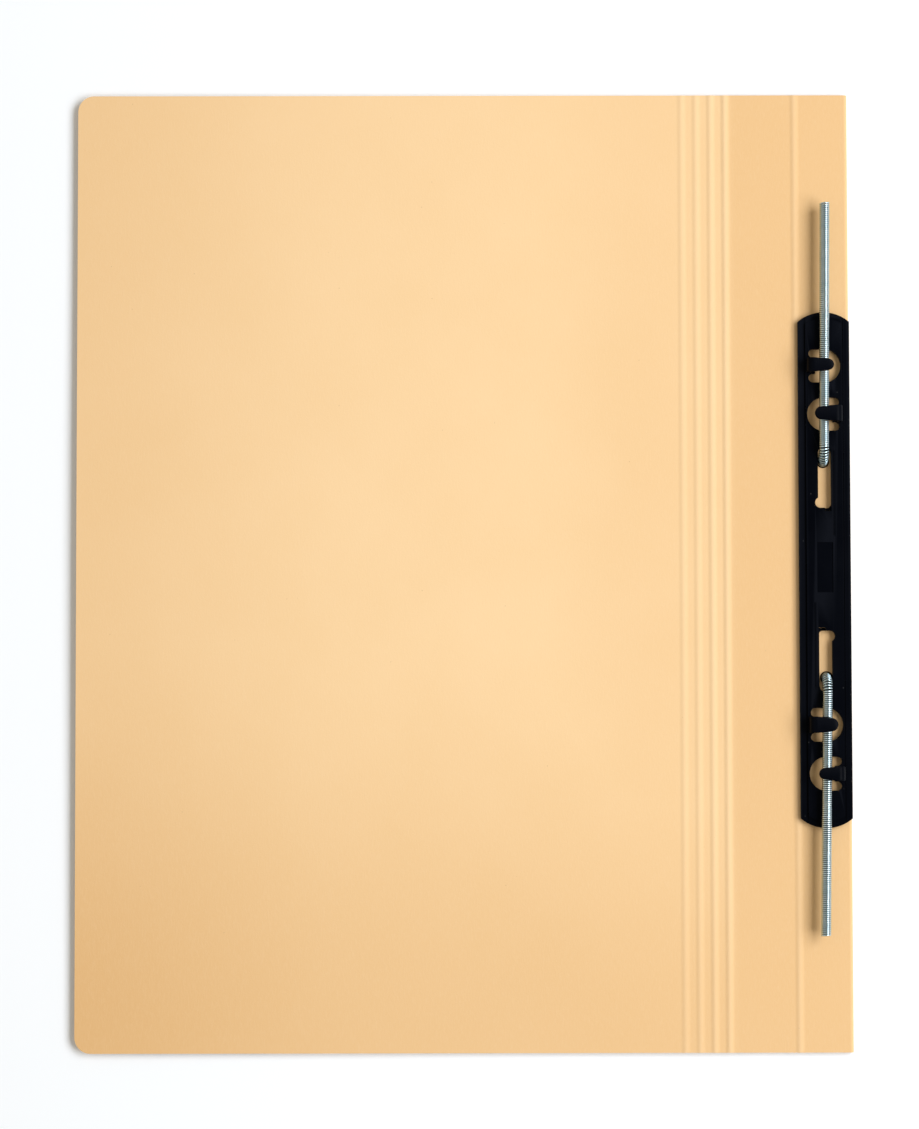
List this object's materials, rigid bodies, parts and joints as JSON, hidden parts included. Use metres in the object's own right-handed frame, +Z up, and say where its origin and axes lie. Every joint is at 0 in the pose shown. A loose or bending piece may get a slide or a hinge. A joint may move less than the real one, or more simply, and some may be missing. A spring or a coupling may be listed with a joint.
{
  "type": "spring transfer file",
  "caption": "Creased board file with expansion strips, a spine and a filing strip, and sprung steel prongs bent over a black bar and held under its tongues.",
  "frame": {"origin": "centre of the opened file's rectangle, on the surface that the folded-under back cover lies on", "axes": "+Z up, away from that surface; +Y along the creases towards the top edge; +X from the front cover towards the filing strip"},
  "size_m": [0.2866, 0.355, 0.0108],
  "materials": {
    "manila_board": "uncoated, fine fibre",
    "black_plastic": "moulded, slight sheen",
    "spring_steel": "bright zinc-plated wire"
  },
  "bodies": {
    "filing_strip": {"filing_strip": "manila_board", "base_bar": "black_plastic", "upper_spring_root": "spring_steel", "lower_spring_root": "spring_steel", "upper_spring_bend": "spring_steel", "lower_spring_bend": "spring_steel"},
    "spine": {"spine_panel": "manila_board"},
    "strip_3": {"strip_3": "manila_board"},
    "strip_2": {"strip_2": "manila_board"},
    "strip_1": {"strip_1": "manila_board"},
    "front_cover": {"front_cover": "manila_board"},
    "back_fold": {"back_fold": "manila_board"},
    "back_cover": {"back_cover": "manila_board"},
    "bar": {"compressor_bar": "black_plastic"},
    "upper_prong": {"upper_spring_arm": "spring_steel"},
    "lower_prong": {"lower_spring_arm": "spring_steel"},
    "upper_outer_tongue": {"upper_outer_tongue": "black_plastic"},
    "upper_inner_tongue": {"upper_inner_tongue": "black_plastic"},
    "lower_outer_tongue": {"lower_outer_tongue": "black_plastic"},
    "lower_inner_tongue": {"lower_inner_tongue": "black_plastic"}
  },
  "joints": [
    {"name": "spine_hinge", "type": "hinge", "parent": "filing_strip", "child": "spine", "pos_m": [0.1231, 0, 0.00225], "axis": [0, -1, 0], "range_deg": [-90, 0]},
    {"name": "crease_4", "type": "hinge", "parent": "spine", "child": "strip_3", "pos_m": [0.0973, 0, 0.00225], "axis": [0, -1, 0], "range_deg": [-22.5, 0]},
    {"name": "crease_3", "type": "hinge", "parent": "strip_3", "child": "strip_2", "pos_m": [0.0919, 0, 0.00225], "axis": [0, -1, 0], "range_deg": [-22.5, 0]},
    {"name": "crease_2", "type": "hinge", "parent": "strip_2", "child": "strip_1", "pos_m": [0.0865, 0, 0.00225], "axis": [0, -1, 0], "range_deg": [-22.5, 0]},
    {"name": "crease_1", "type": "hinge", "parent": "strip_1", "child": "front_cover", "pos_m": [0.0811, 0, 0.00225], "axis": [0, -1, 0], "range_deg": [-22.5, 0]},
    {"name": "fold_top", "type": "hinge", "parent": "filing_strip", "child": "back_fold", "pos_m": [0.14305, 0, 0.00225], "axis": [0, 1, 0], "range_deg": [-90, 0]},
    {"name": "fold_bottom", "type": "hinge", "parent": "back_fold", "child": "back_cover", "pos_m": [0.14305, 0, 0.00025], "axis": [0, 1, 0], "range_deg": [-90, 0]},
    {"name": "upper_prong_bend", "type": "hinge", "parent": "filing_strip", "child": "upper_prong", "pos_m": [0.13342, 0.0426, 0.0052], "axis": [1, -0.0087, 0], "range_deg": [0, 90], "deforming": ["upper_spring_bend", "upper_spring_arm"]},
    {"name": "lower_prong_bend", "type": "hinge", "parent": "filing_strip", "child": "lower_prong", "pos_m": [0.13412, -0.042, 0.0052], "axis": [-0.9999, 0.014, 0], "range_deg": [0, 90], "deforming": ["lower_spring_bend", "lower_spring_arm"]},
    {"name": "bar_lift", "type": "slide", "parent": "filing_strip", "child": "bar", "axis": [0, 0, 1], "range_m": [0, 0.11]},
    {"name": "upper_outer_flex", "type": "hinge", "parent": "bar", "child": "upper_outer_tongue", "pos_m": [0.1275, 0.0758, 0.0058], "axis": [0, -1, 0], "range_deg": [0, 20], "stiffness_Nm_per_rad": 0.02},
    {"name": "upper_inner_flex", "type": "hinge", "parent": "bar", "child": "upper_inner_tongue", "pos_m": [0.14, 0.0578, 0.0058], "axis": [0, 1, 0], "range_deg": [0, 20], "stiffness_Nm_per_rad": 0.02},
    {"name": "lower_outer_flex", "type": "hinge", "parent": "bar", "child": "lower_outer_tongue", "pos_m": [0.14, -0.0752, 0.0058], "axis": [0, 1, 0], "range_deg": [0, 20], "stiffness_Nm_per_rad": 0.02},
    {"name": "lower_inner_flex", "type": "hinge", "parent": "bar", "child": "lower_inner_tongue", "pos_m": [0.1275, -0.0572, 0.0058], "axis": [0, -1, 0], "range_deg": [0, 20], "stiffness_Nm_per_rad": 0.02}
  ],
  "couplings": [
    {"joint": "fold_bottom", "follows": "fold_top", "ratio": 1}
  ]
}
